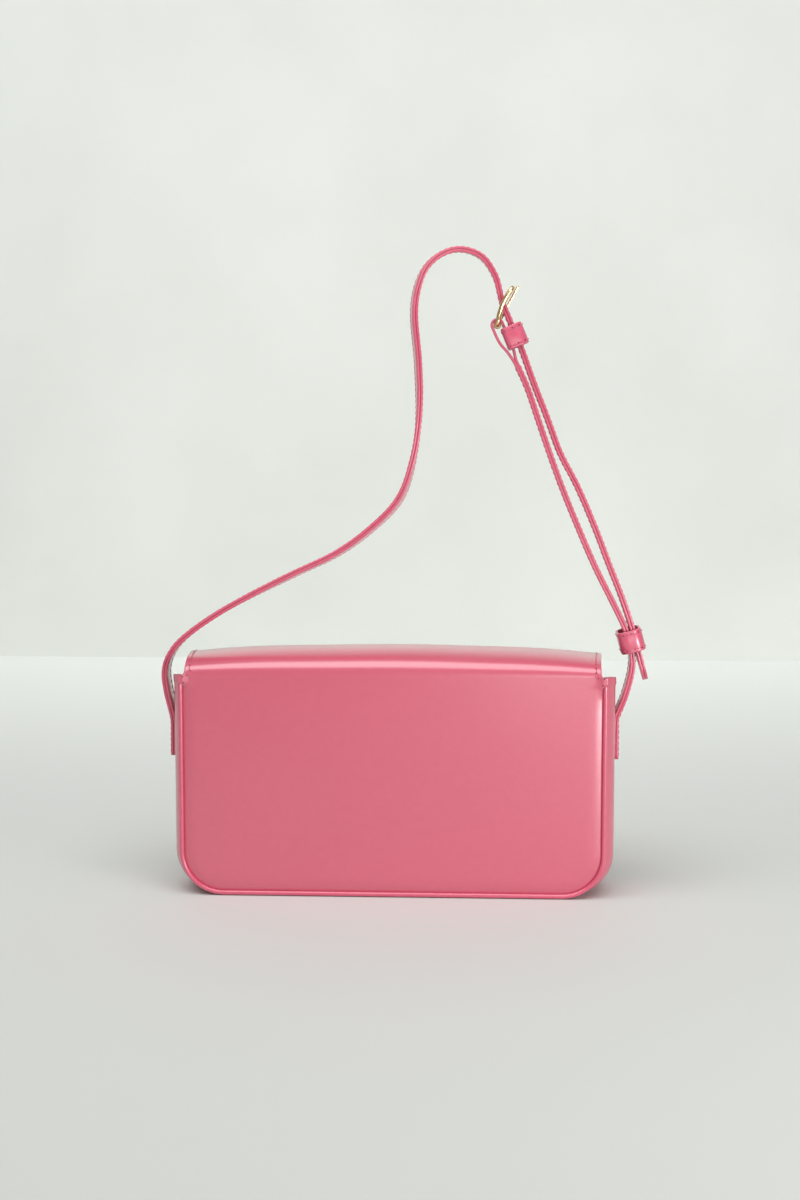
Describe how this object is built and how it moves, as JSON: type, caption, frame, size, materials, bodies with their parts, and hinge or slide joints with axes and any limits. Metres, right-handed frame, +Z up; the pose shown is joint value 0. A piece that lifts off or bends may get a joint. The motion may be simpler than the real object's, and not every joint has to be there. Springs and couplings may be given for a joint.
{
  "type": "baguette shoulder bag",
  "caption": "Long, shallow leather bag with a rolled-over flap on a magnetic snap, piped edges, and a shoulder strap with a buckle and two keepers.",
  "frame": {"origin": "middle of the base, on the surface that the bag stands on", "axes": "+Z up, +X along the bag towards the side with the buckle, +Y out of the front that the flap closes over"},
  "size_m": [0.3095, 0.0632, 0.4081],
  "materials": {
    "pink_leather": "smooth, semi-gloss box leather",
    "pink_edge": "smooth piping and painted edges",
    "lining": "matt twill",
    "stiffener": "unseen board",
    "pale_gold": "polished, pale gold plate"
  },
  "bodies": {
    "body": {"back_panel": "pink_leather", "front_panel": "pink_leather", "gusset": "pink_leather", "piping_back": "pink_edge", "piping_front": "pink_edge", "back_board": "stiffener", "front_board": "stiffener", "base_board": "stiffener", "lining_back": "lining", "lining_front": "lining", "lining_gusset": "lining", "inner_pocket": "lining", "snap_socket": "pale_gold", "snap_socket_washer": "pale_gold", "strap_end_left": "pink_leather", "strap_end_right": "pink_leather"},
    "flap": {"flap_leather": "pink_leather", "flap_board": "stiffener", "flap_lining": "lining", "snap_stud": "pale_gold", "snap_stud_washer": "pale_gold"},
    "strap": {"strap_face": "pink_leather", "strap_backing": "pink_edge", "buckle_strap": "pink_leather", "keeper_fixed": "pink_leather"},
    "keeper": {"keeper_sliding": "pink_leather"},
    "buckle": {"buckle_frame": "pale_gold"},
    "tongue": {"buckle_tongue": "pale_gold"}
  },
  "joints": [
    {"name": "flap_open", "type": "hinge", "parent": "body", "child": "flap", "pos_m": [0, -0.028, 0.141], "axis": [1, 0, 0], "range_deg": [0, 115]},
    {"name": "strap_swing", "type": "hinge", "parent": "body", "child": "strap", "pos_m": [0, 0, 0.108], "axis": [1, 0, 0], "range_deg": [0, 104]},
    {"name": "keeper_slide", "type": "slide", "parent": "strap", "child": "keeper", "axis": [-0.2656, 0, 0.9641], "range_m": [-0.007, 0.01]},
    {"name": "buckle_pivot", "type": "hinge", "parent": "strap", "child": "buckle", "pos_m": [0.06469, 0, 0.35908], "axis": [0, 1, 0], "range_deg": [-2, 2]},
    {"name": "tongue_lift", "type": "hinge", "parent": "buckle", "child": "tongue", "pos_m": [0.06469, 0, 0.35908], "axis": [0, 1, 0], "range_deg": [0, 2.5]}
  ],
  "couplings": [
    {"joint": "strap_swing", "follows": "flap_open", "ratio": 0.9}
  ]
}
